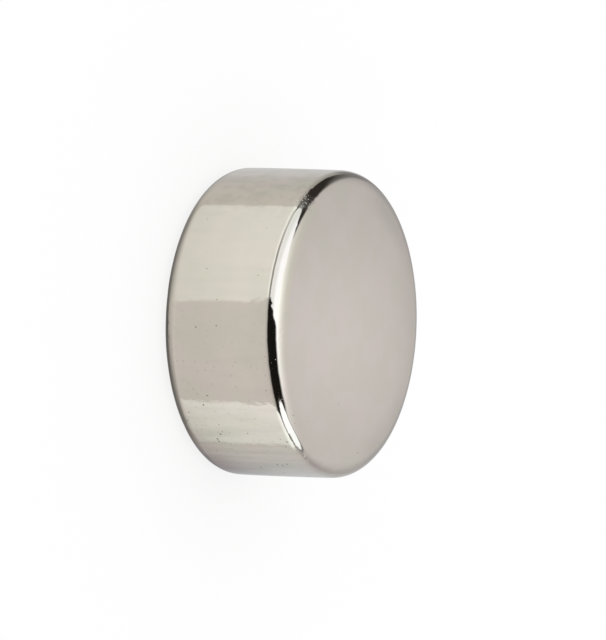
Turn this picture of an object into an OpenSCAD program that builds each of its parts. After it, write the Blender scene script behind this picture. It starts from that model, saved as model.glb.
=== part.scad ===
// Disc magnet, plated and tumbled.
// One solid disc, pressed and sintered as one piece, magnetised through its
// thickness, with both edges rounded by tumbling before it was plated.
// It lies flat: the origin is at the middle of the lower pole face, and +Z runs
// along the disc's axis to the upper pole face.

/* [Disc] */
// Diameter of the disc over its plating
disc_d = 9; // [5:0.5:24]
// Thickness between the two pole faces
disc_t = 4; // [2:0.5:12]

/* [Edges] */
// Radius of the tumbled edge round each pole face
edge_r = 0.55; // [0.2:0.05:0.9]

/* [Hidden] */

// Radius of the round wall
wall_r = disc_d / 2;
// Radius of the flat part of each pole face, inside the rounded edge
face_r = wall_r - edge_r;
// Height of the straight part of the wall, between the two rounded edges
wall_h = disc_t - 2 * edge_r;
$fn = 96;

// Half of the disc's section, from its axis out: the middle slab stands between
// the two edge circles, whose outer quarters are the rounded edges.
module half_section() {
    // From pole face to pole face
    square([face_r, disc_t]);
    // Out to the round wall
    translate([0, edge_r])
        square([wall_r, wall_h]);
    for (height = [edge_r, disc_t - edge_r])
        translate([face_r, height])
            circle(r = edge_r);
}

// The magnet itself: the half section turned once round the axis
module magnet() {
    color([0.78, 0.75, 0.70])
        rotate_extrude()
            half_section();
}

magnet();
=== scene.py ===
import math
import random

import bpy
from mathutils import Matrix, Vector, noise


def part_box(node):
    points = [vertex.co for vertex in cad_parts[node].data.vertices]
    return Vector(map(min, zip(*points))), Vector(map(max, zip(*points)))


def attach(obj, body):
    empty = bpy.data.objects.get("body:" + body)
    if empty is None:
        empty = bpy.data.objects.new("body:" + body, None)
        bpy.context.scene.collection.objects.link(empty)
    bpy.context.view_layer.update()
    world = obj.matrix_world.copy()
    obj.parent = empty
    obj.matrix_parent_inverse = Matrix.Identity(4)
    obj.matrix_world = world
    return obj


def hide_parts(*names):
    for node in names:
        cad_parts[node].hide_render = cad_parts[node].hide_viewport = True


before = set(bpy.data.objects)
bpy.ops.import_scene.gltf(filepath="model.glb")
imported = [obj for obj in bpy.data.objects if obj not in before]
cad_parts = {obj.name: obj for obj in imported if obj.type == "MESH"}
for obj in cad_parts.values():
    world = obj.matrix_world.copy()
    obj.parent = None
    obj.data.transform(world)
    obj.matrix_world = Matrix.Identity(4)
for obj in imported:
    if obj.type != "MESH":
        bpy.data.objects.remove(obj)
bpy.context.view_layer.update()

# --- The disc magnet -----------------------------------------------------------------
# One solid disc of pressed and sintered magnet alloy. It was tumbled in a drum until
# both edges came out round, then plated with bright nickel. Nothing is fixed to it, and
# it lies flat on one of its two faces.

MM = 0.001

low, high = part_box("magnet")
disc_r = min(high.x, -low.x) / MM
disc_t = (high.z - low.z) / MM
# The arc of each rounded edge. With the lean on both sides the edge measures 0.55.
edge_r = 0.53

# Tumbling leaves no sharp start to the rounded edge. The wall and the faces lean toward
# it by a degree or so, and the lean dies away over the fade, in millimetres.
wall_lean = math.radians(1.5)
wall_fade = 0.4
face_lean = math.radians(0.8)
face_fade = 0.5

points_around = 720
edge_rings = 20
wall_rings = 18
face_rings = 16


def outline():
    """The section of the disc from the middle of the lower face to the middle of the upper one.

    Each ring is a radius, a height and a slope: 0 on the wall, a right angle on a face.
    """
    wall_drop = wall_lean * wall_fade
    face_drop = face_lean * face_fade
    centre_r = disc_r - wall_drop - edge_r * math.cos(wall_lean)
    centre_h = disc_t - face_drop - edge_r * math.cos(face_lean)
    wall_end = centre_h + edge_r * math.sin(wall_lean)
    face_end = centre_r + edge_r * math.sin(face_lean)
    upper = []
    for step in range(wall_rings):
        height = disc_t / 2 + (wall_end - disc_t / 2) * math.sin(math.pi / 2 * step / wall_rings)
        fading = math.exp((height - wall_end) / wall_fade)
        upper.append((disc_r - wall_drop * fading, height, wall_lean * fading))
    for step in range(edge_rings + 1):
        slope = wall_lean + (math.pi / 2 - wall_lean - face_lean) * step / edge_rings
        radius = centre_r + edge_r * math.cos(slope)
        height = centre_h + edge_r * math.sin(slope)
        upper.append((radius, height, slope))
    for step in range(1, face_rings):
        radius = face_end * math.cos(math.pi / 2 * step / face_rings)
        fading = math.exp((radius - face_end) / face_fade)
        upper.append((radius, disc_t - face_drop * fading, math.pi / 2 - face_lean * fading))
    lower = [(radius, disc_t - height, -slope) for radius, height, slope in upper[1:]]
    return lower[::-1] + upper


# The side of the disc that is seen first, as an angle about its axis: 0 is -Y and 90 is +X
front = 90

# Swells left by the press and the drum: how wide, how wide along the axis, and how deep
swells = [(2.6, 2.6, 0.0050), (0.62, 0.62, 0.0042), (0.30, 1.2, 0.0034), (0.20, 0.20, 0.0046)]

# Small knocks on the edges from the drum, thickest where the disc landed on its edge once
random.seed(11)
landing_knocks = 26
all_knocks = 90
knocks = []
for number in range(all_knocks):
    if number < landing_knocks:
        knock_turn = random.uniform(-61, -51)
        knock_slope = random.uniform(5, 60)
        knock_size = random.uniform(0.035, 0.055)
    else:
        knock_turn = random.uniform(-180, 180)
        knock_slope = random.choice((-1, 1)) * random.uniform(-4, 80)
        knock_size = random.uniform(0.03, 0.06)
    knock_angle = math.radians(front + knock_turn)
    knock_slope = math.radians(knock_slope)
    knock_r = disc_r - edge_r + edge_r * math.cos(knock_slope)
    knock_h = math.copysign(disc_t / 2 - edge_r, knock_slope)
    knock_h = knock_h + edge_r * math.sin(knock_slope) + disc_t / 2
    knock_place = Vector((
        math.sin(knock_angle) * knock_r, -math.cos(knock_angle) * knock_r, knock_h))
    knocks.append((knock_place, knock_size, knock_size * random.uniform(0.05, 0.11)))


def depth(place, slope):
    """How far the plating lies below the true surface at a place, in millimetres."""
    on_face = min(1.0, max(0.0, (abs(slope) - 1.2) / 0.3))
    patch_width = 1.6
    patchy = 0.6 + 0.8 * max(0.0, noise.noise(place / patch_width + Vector((3.1, 8.2, 5.5))))
    # One side of the disc came out smoother than the other
    smooth_side = 3.5
    patchy *= 0.5 + 0.5 * min(1.0, max(0.0, (place.y + smooth_side) / smooth_side))
    sunk = 0.0
    for number, (width, length, height) in enumerate(swells):
        shifted = Vector((place.x / width, place.y / width, place.z / length))
        shifted += Vector((11.3 * number, 4.7, 2.9))
        share = patchy if number else 1.0
        sunk += height * share * (0.5 - 0.5 * noise.noise(shifted))
    # The faces are flatter than the wall, and the knocks are on the edges only
    sunk *= 1.0 - 0.8 * on_face
    if 0.05 < abs(slope) < 1.5:
        for knock_place, knock_size, knock_depth in knocks:
            away = (place - knock_place).length / knock_size
            if away < 2.2:
                sunk += knock_depth * math.exp(-away * away)
    return sunk


def disc_mesh():
    rings = outline()
    points = []
    for radius, height, slope in rings:
        for step in range(points_around):
            angle = 2 * math.pi * step / points_around
            outward = Vector((math.sin(angle), -math.cos(angle), 0.0))
            place = outward * radius + Vector((0, 0, height))
            normal = outward * math.cos(slope) + Vector((0, 0, math.sin(slope)))
            points.append((place - normal * depth(place, slope)) * MM)
    faces = []
    for ring in range(len(rings) - 1):
        here = ring * points_around
        above_it = here + points_around
        for step in range(points_around):
            after = (step + 1) % points_around
            faces.append((here + step, here + after, above_it + after, above_it + step))
    lower_middle = len(points)
    upper_middle = lower_middle + 1
    points.append(Vector((0, 0, rings[0][1])) * MM)
    points.append(Vector((0, 0, rings[-1][1])) * MM)
    last_ring = (len(rings) - 1) * points_around
    for step in range(points_around):
        after = (step + 1) % points_around
        faces.append((lower_middle, after, step))
        faces.append((upper_middle, last_ring + step, last_ring + after))
    mesh = bpy.data.meshes.new("disc")
    mesh.from_pydata(points, [], faces)
    mesh.shade_smooth()
    return mesh


class Flow:
    """An output of a shader node. Arithmetic on it adds Math nodes; node() adds any other."""

    def __init__(self, tree, socket=None):
        self.tree = tree
        self.socket = socket

    def node(self, kind, settings, inputs, output=0):
        made = self.tree.nodes.new("ShaderNode" + kind)
        for name, value in settings.items():
            setattr(made, name, value)
        for name, value in inputs.items():
            if isinstance(value, Flow):
                self.tree.links.new(value.socket, made.inputs[name])
            else:
                made.inputs[name].default_value = value
        return Flow(self.tree, made.outputs[output] if made.outputs else None)

    def maths(self, operation, *values):
        return self.node("Math", {"operation": operation}, dict(enumerate(values)))

    def __add__(self, other):
        return self.maths("ADD", self, other)

    def __radd__(self, other):
        return self.maths("ADD", other, self)

    def __sub__(self, other):
        return self.maths("SUBTRACT", self, other)

    def __rsub__(self, other):
        return self.maths("SUBTRACT", other, self)

    def __mul__(self, other):
        return self.maths("MULTIPLY", self, other)

    def __rmul__(self, other):
        return self.maths("MULTIPLY", other, self)

    def __truediv__(self, other):
        return self.maths("DIVIDE", self, other)

    def __pow__(self, other):
        return self.maths("POWER", self, other)

    def __neg__(self):
        return self.maths("MULTIPLY", self, -1.0)

    def __abs__(self):
        return self.maths("ABSOLUTE", self)

    def rise(self, start, end):
        """0 up to the start, 1 from the end on, and smooth in between. The end may be the lower."""
        return self.node("MapRange", {"interpolation_type": "SMOOTHSTEP"},
                         {"Value": self, "From Min": start, "From Max": end})

    def blend(self, below, above):
        """One colour where this is 0 and the other where it is 1."""
        return self.node("Mix", {"data_type": "RGBA"}, {0: self, 6: below, 7: above}, 2)


def empty_tree(holder):
    """A material's or a world's node tree with nothing in it yet."""
    holder.use_nodes = True
    holder.node_tree.nodes.clear()
    return Flow(holder.node_tree)


def nickel_material():
    material = bpy.data.materials.new("bright_nickel")
    start = empty_tree(material)
    place = start.node("TexCoord", {}, {}, "Object")
    place = start.node("VectorMath", {"operation": "SCALE"}, {0: place, "Scale": 1 / MM})
    forward = start.node("SeparateXYZ", {}, {"Vector": place}, "X")
    sideways = start.node("SeparateXYZ", {}, {"Vector": place}, "Y")
    height = start.node("SeparateXYZ", {}, {"Vector": place}, "Z")
    on_face = abs(height - disc_t / 2).rise(disc_t / 2 - 0.5, disc_t / 2 - 0.1)

    black = (0, 0, 0, 1)

    # Nickel is a warm grey, here a little pinker and there a little greener
    cloud = start.node("TexNoise", {}, {"Vector": place, "Scale": 1.1, "Detail": 3.0}, "Fac")
    warm = (0.722, 0.662, 0.600, 1)
    green = (0.684, 0.655, 0.571, 1)
    plating = cloud.rise(0.3, 0.7).blend(warm, green)

    # Painted shade in the nickel's colour: darker toward the table on the wall, and toward the rim
    # on each face, most of all at the two far corners of the face
    squeezed = start.node("VectorMath", {"operation": "MULTIPLY"}, {0: place, 1: (0.72, 1.0, 0.0)})
    brightest = (0.9, 0.0, 0.0)
    outward = start.node("VectorMath", {"operation": "DISTANCE"},
                         {0: squeezed, 1: brightest}, "Value")
    painted_shade_wall = 0.09 * height.rise(3.0, 0.0) * sideways.rise(-4.1, -2.9)
    painted_shade_wall = painted_shade_wall + 0.2 * height.rise(2.8, 1.0) * sideways.rise(4.1, 4.42)
    painted_shade_face = 0.13 * outward.rise(0.5, 4.6) + 0.08 * forward.rise(-2.4, -4.3)
    painted_shade_face = painted_shade_face + 0.07 * sideways.rise(1.5, -3.5)
    from_middle = (forward ** 2 + sideways ** 2) ** 0.5
    far_rim = abs(sideways).rise(1.0, 2.8) * forward.rise(-0.3, -1.8)
    painted_shade_face = painted_shade_face + 0.1 * from_middle.rise(3.2, 3.9) * far_rim

    # Drag lines along the wall from the press, strongest on one side
    squeezed = start.node("VectorMath", {"operation": "MULTIPLY"}, {0: place, 1: (1.0, 1.0, 0.1)})
    drag = start.node("TexNoise", {}, {"Vector": squeezed, "Scale": 3.2, "Detail": 4.0}, "Fac")
    dull_lines = 0.12 * drag.rise(0.42, 0.75) * (0.25 + 0.75 * sideways.rise(1.5, 3.4))
    blotch = start.node("TexNoise", {}, {"Vector": place, "Scale": 3.0, "Detail": 4.0}, "Fac")
    dull_spots = 0.07 * blotch.rise(0.42, 0.62) * sideways.rise(-2.6, -3.8)
    # Drag lines and spots are the plating's own marks; the wall and face terms are painted shade
    dull_and_painted_shade = (painted_shade_wall + dull_lines + dull_spots) * (1 - on_face) + painted_shade_face * on_face
    plating = dull_and_painted_shade.blend(plating, black)

    # Painted shade with a brown tint, low on the wall, at one side
    brown = 0.28 * height.rise(1.6, 0.1) * sideways.rise(2.2, 4.0)
    brown = brown + 0.5 * height.rise(3.2, -0.6) * sideways.rise(3.8, 4.3)
    brown_shade_tint = (0.12, 0.02, 0.03, 1)
    plating = brown.blend(plating, brown_shade_tint)

    # Pinholes in the plating: some on the wall, in groups, and hardly any on the faces
    holes_per_mm = 3.5
    hole_dark = (0.08, 0.07, 0.06, 1)
    holes = start.node("TexVoronoi", {}, {"Vector": place, "Scale": holes_per_mm}, "Distance")
    crowd = start.node("TexNoise", {}, {"Vector": place, "Scale": 1.1, "Detail": 2.0}, "Fac")
    reach = 0.03 + 0.05 * sideways.rise(-1, 3) + 0.05 * crowd.rise(0.42, 0.62) - 0.05 * on_face
    pinhole = (holes - reach).rise(0.0, -0.035)
    plating = (0.65 * pinhole).blend(plating, hole_dark)

    # Faint brown smudges, only on the wall
    smudges_per_mm = 4.3
    smudge_brown = (0.20, 0.15, 0.10, 1)
    smudges = start.node("TexVoronoi", {}, {"Vector": place, "Scale": smudges_per_mm}, "Distance")
    smudge = 0.16 * smudges.rise(0.22, 0.06) * sideways.rise(-1.5, 1.5) * (1 - on_face)
    plating = smudge.blend(plating, smudge_brown)

    # Chips on the upper edge that only glint, and the scuffed plating between them. Each group
    # has a turn from the front, how far it spreads, and how matt the plating is there.
    chips_per_mm = 13.0
    chip_r = disc_r - 0.15
    chip_h = disc_t - 0.35
    chipped = 0.0
    scuffed = 0.0
    groups = [(-53, 0.44, 0.14), (-5, 0.12, 0), (14.5, 0.2, 0), (29.5, 0.18, 0), (62, 0.35, 0.05)]
    for chip_turn, spread, matt in groups:
        chip_angle = math.radians(front + chip_turn)
        spot = (math.sin(chip_angle) * chip_r, -math.cos(chip_angle) * chip_r, chip_h)
        away = start.node("VectorMath", {"operation": "DISTANCE"}, {0: place, 1: spot}, "Value")
        group = away.rise(spread, 0.5 * spread)
        chipped = group + chipped
        scuffed = matt * group + scuffed
    chips = start.node("TexVoronoi", {}, {"Vector": place, "Scale": chips_per_mm}, "Distance")
    chipped = chipped * chips.rise(0.36, 0.08) * height.rise(disc_t - 0.03, disc_t - 0.12)

    # Faint haze and a fine grain under the shine. The relief is worked out in millimetres.
    haze = start.node("TexNoise", {}, {"Vector": place, "Scale": 2.3, "Detail": 5.0}, "Fac")
    roughness = 0.06 + 0.03 * haze.rise(0.45, 0.75) + 0.3 * pinhole + scuffed
    grain = start.node("TexNoise", {}, {"Vector": place, "Scale": 8.0, "Detail": 2.0}, "Fac")
    grain = grain * (0.5 + 1.8 * sideways.rise(1.0, 3.0)) * (1 - on_face)
    relief = 0.0011 * grain - 0.004 * chipped - 0.002 * pinhole
    relief = start.node("Bump", {}, {"Height": relief, "Strength": 1.0, "Distance": MM})
    shine = start.node("BsdfPrincipled", {}, {
        "Base Color": plating, "Metallic": 1.0, "Roughness": roughness, "Normal": relief})
    start.node("OutputMaterial", {}, {"Surface": shine})
    return material


disc = bpy.data.objects.new("nickel_disc", disc_mesh())
bpy.context.collection.objects.link(disc)
disc.data.materials.append(nickel_material())
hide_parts("magnet")
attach(disc, "root")

# --- The table -----------------------------------------------------------------------
# A white table top that the disc lies on. What the nickel mirrors of it is part of the
# studio below, so the table itself is kept out of reflections. To the eye it is nearly
# all plain white, with a trace of the disc's shadow.

half = 1.5
corners = [(-half, -half, 0), (half, -half, 0), (half, half, 0), (-half, half, 0)]
table_mesh = bpy.data.meshes.new("table")
table_mesh.from_pydata(corners, [], [(0, 1, 2, 3)])
table = bpy.data.objects.new("table", table_mesh)
bpy.context.collection.objects.link(table)
table_white = bpy.data.materials.new("white_table")
start = empty_tree(table_white)
shaded = start.node("BsdfDiffuse", {}, {"Color": (1, 1, 1, 1)})
plain = start.node("Emission", {}, {"Color": (1, 1, 1, 1), "Strength": 1.0})
looked_at = start.node("LightPath", {}, {}, "Is Camera Ray")
looked_at = looked_at + start.node("LightPath", {}, {}, "Is Glossy Ray")
looked_at = looked_at + start.node("LightPath", {}, {}, "Is Transmission Ray")
surface = start.node("MixShader", {}, {0: 0.8 * looked_at, 1: shaded, 2: plain})
start.node("OutputMaterial", {}, {"Surface": surface})
table_mesh.materials.append(table_white)
table.visible_glossy = False

# --- The studio ----------------------------------------------------------------------
# White paper all round, a big softbox on the left, a round lamp on the right, a black
# card around the camera and a dark room behind the softbox. The disc mirrors all of
# them, and their image in the table's gloss. Every other ray meets plain white.

studio = bpy.data.worlds.new("studio")
bpy.context.scene.world = studio
studio.cycles.sampling_method = "NONE"
start = empty_tree(studio)
to_front = -math.radians(front)
ray = start.node("TexCoord", {}, {}, "Generated")
ray = start.node("VectorRotate", {"rotation_type": "Z_AXIS"}, {"Vector": ray, "Angle": to_front})
x = start.node("SeparateXYZ", {}, {"Vector": ray}, "X")
y = start.node("SeparateXYZ", {}, {"Vector": ray}, "Y")
z = start.node("SeparateXYZ", {}, {"Vector": ray}, "Z")

# A direction is a turn about the disc's axis, 0 toward the camera and positive to its
# right, and a lift above level, both in degrees. Below the table's edge the table shows
# the studio upside down.
degrees = 180 / math.pi
turn = start.maths("ARCTAN2", x, -y) * degrees
lift = start.maths("ARCSINE", z) * degrees
table_edge = -5.0
up = abs(lift - table_edge)
under = lift.rise(table_edge + 0.01, table_edge - 0.01)

# Paper: brightest overhead and toward the camera, dimmer low down
paper = 0.84 - 0.27 * lift.rise(32, 0)
paper = paper - 0.07 * turn.rise(100, 112) * turn.rise(150, 120) * lift.rise(18, 5)
toward = x * math.sin(math.radians(-5)) - y * math.cos(math.radians(-5))
glow = 0.83 * start.maths("MAXIMUM", toward + 0.45, 0.0) ** 2
overhead = lift.rise(32, 60) * x.rise(0.3, -0.3)
seen = start.node("CombineColor", {}, {
    "Red": (1 + 0.035 * overhead) * paper + 0.92 * glow,
    "Green": (0.975 + 0.075 * overhead) * paper + glow,
    "Blue": 1.005 * paper + 1.04 * glow})

# Softbox light, and how much of it the table's gloss gives back: most near its edge
light = (1.52, 1.60, 1.74, 1)
grazing = (2.0, 2.2, 2.27, 1)
near_edge = under * up.rise(22, 6)

# Big softbox, with a slanted outer edge and a soft top. It is dimmer low down all along, so
# that a flat face keeps its grey when it mirrors that part.
side_edge = -93 + 0.019 * (1 - under) * (up - 20.5) ** 2 + under * (2.5 - 0.282 * up)
softbox = (turn - side_edge).rise(-1.5, 1.5) * turn.rise(45, 0) * up.rise(65, 57)
low_light = (1.14, 1.19, 1.24, 1)
level = lift.rise(14, 36).blend(low_light, light)
box_in_gloss = (1.21, 1.34, 1.38, 1)
level = under.blend(level, box_in_gloss)
level = near_edge.blend(level, grazing)
seen = softbox.blend(seen, level)

# Gap under the softbox
gap = turn.rise(-92, -85) * turn.rise(-14, -18) * lift.rise(0.5, -4.0) * lift.rise(-15, -10)
gap = gap * (0.55 + 0.4 * turn.rise(-78, -45))
gap_grey = (0.15, 0.145, 0.135, 1)
seen = (0.95 * gap).blend(seen, gap_grey)

# Black card round the camera, with its left corner cut away
card_left = -17.5 + 0.46 * (1 - under) * start.maths("MAXIMUM", up - 8.5, 0.0)
card_left = card_left + 3.2 * under * up.rise(20.4, 22.6)
card_top = 56.0 - 0.0030 * (turn - 10) ** 2
card = (turn - card_left).rise(-1.0, 1.5) * turn.rise(84, 66) * (up - card_top).rise(6, -8)
card_black = (0.012, 0.011, 0.010, 1)
seen = card.blend(seen, card_black)

# Round lamp in a dark ring, on a stand
lamp_turn = 82.5 + 1.8 * under
lamp_lift = 20.3
lamp_wide = 22.5 - 2.2 * under
lamp_high = 14.0 + 12 * under
roundness = 2.6
lamp_reach = abs((turn - lamp_turn) / lamp_wide) ** roundness
lamp_reach = lamp_reach + abs((up - lamp_lift) / lamp_high) ** roundness
ring = 0.85 * lamp_reach.rise(1.7, 1.15) * (1 - under)
ring_grey = (0.12, 0.115, 0.11, 1)
seen = ring.blend(seen, ring_grey)
lamp_in_gloss = (1.35, 1.50, 1.55, 1)
level = under.blend(light, lamp_in_gloss)
level = near_edge.blend(level, grazing)
seen = lamp_reach.rise(1.15, 0.85).blend(seen, level)
stand_turn = 90
stand_grey = (0.3, 0.29, 0.28, 1)
stand = abs(turn - stand_turn).rise(5, 3.5) * lift.rise(5.5, 4.5) * (1 - under)
seen = (0.8 * stand).blend(seen, stand_grey)

# Dark room behind the softbox
room_top = 50.5 + 0.33 * (turn + 90) - 0.003 * (turn + 90) ** 2
over = up - room_top + 3.0 * turn.rise(-140, -156)
far = turn.rise(-105, -130)
room = 0.50 * turn.rise(-172, -156) + 0.48 * turn.rise(-156, -128)
room = room * (1 - 0.3 * lift.rise(0, 26) * turn.rise(-124, -136))
room = room * (turn - side_edge).rise(1.5, -1.5) * turn.rise(-78, -88)
room = room * ((1 - far) * over.rise(4, -6) + far * over.rise(5, -9))
room_dark = (0.03, 0.025, 0.022, 1)
seen = room.blend(seen, room_dark)

# The table top: its gloss over its white, darker in the disc's own shadow behind and below
shadow_turn = 165
behind = 0.5 + 0.5 * start.maths("COSINE", (turn - shadow_turn) / degrees)
shade = (0.27 + 0.35 * lift.rise(-27.5, -35) + 0.18 * lift.rise(-35, -54))
shade = shade * behind ** (2.4 - 1.4 * lift.rise(-40, -56))
shielded = card * under
top = (0.90 + 0.045 * shielded) * (1 - shade) * (1 - 0.42 * lift.rise(-32, -84))
# The table's far edge is dark too where it lies below the card
top = (1 - 0.8 * shielded * lift.rise(-12, -7)) * top
# The room's dark also lies along the table's back edge
back_edge = turn.rise(-140, -152) * turn.rise(-178, -166) * lift.rise(-24, -13)
top = (1 - 0.6 * back_edge) * top
cool = (abs(turn).rise(100, 155) + 0.6 * turn.rise(80, 115)) * lift.rise(-48, -32)
top = start.node("CombineColor", {}, {
    "Red": (1.02 - 0.03 * cool) * top,
    "Green": top,
    "Blue": (0.96 + 0.05 * cool + 0.02 * shielded) * top})
gloss = 0.08 + 0.50 * (1 - start.maths("SINE", up / degrees)) ** 3
below = gloss.blend(top, seen)
seen = under.blend(seen, below)
gap_in_gloss = (0.35, 0.345, 0.33, 1)
seen = (0.7 * gap * under).blend(seen, gap_in_gloss)

mirrored = start.node("LightPath", {}, {}, "Is Glossy Ray")
colour = mirrored.blend((1, 1, 1, 1), seen)
surroundings = start.node("Background", {}, {"Color": colour, "Strength": 1.0})
start.node("OutputWorld", {}, {"Surface": surroundings})

# --- The camera ----------------------------------------------------------------------
# A long lens that looks down at the disc from its front. The camera is turned on its
# side, so that the disc's axis points to the right and a little down.

elevation = math.radians(27.7)
droop = math.radians(1.86)
front_angle = math.radians(front)
level_ahead = Vector((math.sin(front_angle), -math.cos(front_angle), 0.0))
backward = level_ahead * math.cos(elevation) + Vector((0, 0, math.sin(elevation)))
axis_seen = (Vector((0, 0, 1)) - backward * backward.z).normalized()
rightward = axis_seen * math.cos(droop) + backward.cross(axis_seen) * math.sin(droop)
upward = backward.cross(rightward)

# The view is a little over two discs high, and the disc stands a little left of its middle.
# The aim is in millimetres from the middle of the disc.
camera_data = bpy.data.cameras.new("camera")
camera_data.lens = 800
camera_data.clip_end = 10
view_height = 2.0750 * 2 * disc_r
aim_right = 0.321
aim_up = 0.077
aim = Vector((0, 0, disc_t / 2)) + rightward * aim_right + upward * aim_up
stand_off = view_height * camera_data.lens / camera_data.sensor_width
eye = (aim + backward * stand_off) * MM
camera = bpy.data.objects.new("camera", camera_data)
camera.matrix_world = Matrix((
    (rightward.x, upward.x, backward.x, eye.x),
    (rightward.y, upward.y, backward.y, eye.y),
    (rightward.z, upward.z, backward.z, eye.z),
    (0, 0, 0, 1)))
bpy.context.collection.objects.link(camera)
bpy.context.scene.camera = camera
bpy.context.scene.view_settings.view_transform = "Standard"
